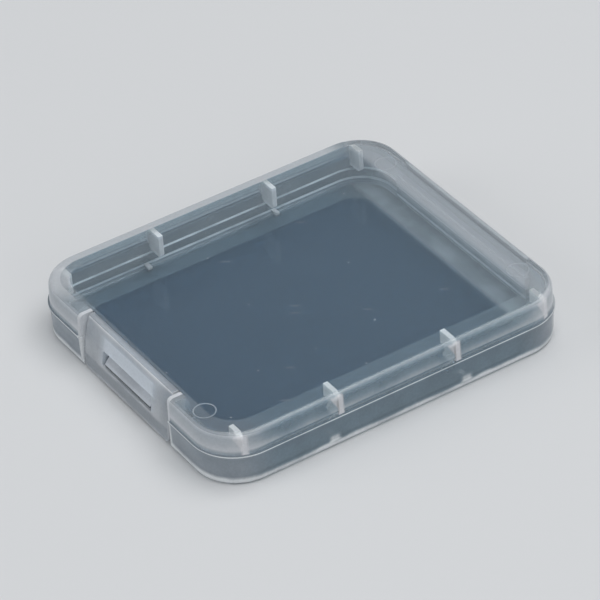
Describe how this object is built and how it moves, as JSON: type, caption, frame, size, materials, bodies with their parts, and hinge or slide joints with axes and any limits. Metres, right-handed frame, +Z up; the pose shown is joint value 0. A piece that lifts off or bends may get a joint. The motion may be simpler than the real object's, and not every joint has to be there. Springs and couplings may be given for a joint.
{
  "type": "memory card case",
  "caption": "Slim translucent plastic case for one memory card: a base tray, a lid on a living hinge, and a sprung latch tab that snaps over a catch.",
  "frame": {"origin": "middle of the underside, on the surface that the case stands on", "axes": "+X across the case, +Y from the latch to the hinge, +Z up through the lid"},
  "size_m": [0.044, 0.051, 0.0075],
  "materials": {
    "base_plastic": "natural polypropylene, finely textured walls round a polished floor panel",
    "lid_plastic": "natural polypropylene, finely textured walls round a polished top panel",
    "rib_plastic": "natural polypropylene, milky where it is thick",
    "tab_plastic": "natural polypropylene, finely textured",
    "web_plastic": "natural polypropylene, coined thin and slightly stress-whitened"
  },
  "bodies": {
    "base": {"base_tray": "base_plastic", "catch_wedge": "rib_plastic", "floor_nubs": "rib_plastic", "hinge_web": "web_plastic"},
    "lid": {"lid_shell": "lid_plastic", "lid_ribs_left": "rib_plastic", "lid_ribs_right": "rib_plastic"},
    "latch": {"latch_tab": "tab_plastic"}
  },
  "joints": [
    {"name": "lid_hinge", "type": "hinge", "parent": "base", "child": "lid", "pos_m": [0, 0.0256, 0.00443], "axis": [-1, 0, 0], "range_deg": [0, 180], "deforming": ["hinge_web"]},
    {"name": "latch_flex", "type": "hinge", "parent": "lid", "child": "latch", "pos_m": [0, -0.02322, 0.0075], "axis": [-1, 0, 0], "range_deg": [0, 12], "stiffness_Nm_per_rad": 0.05}
  ]
}
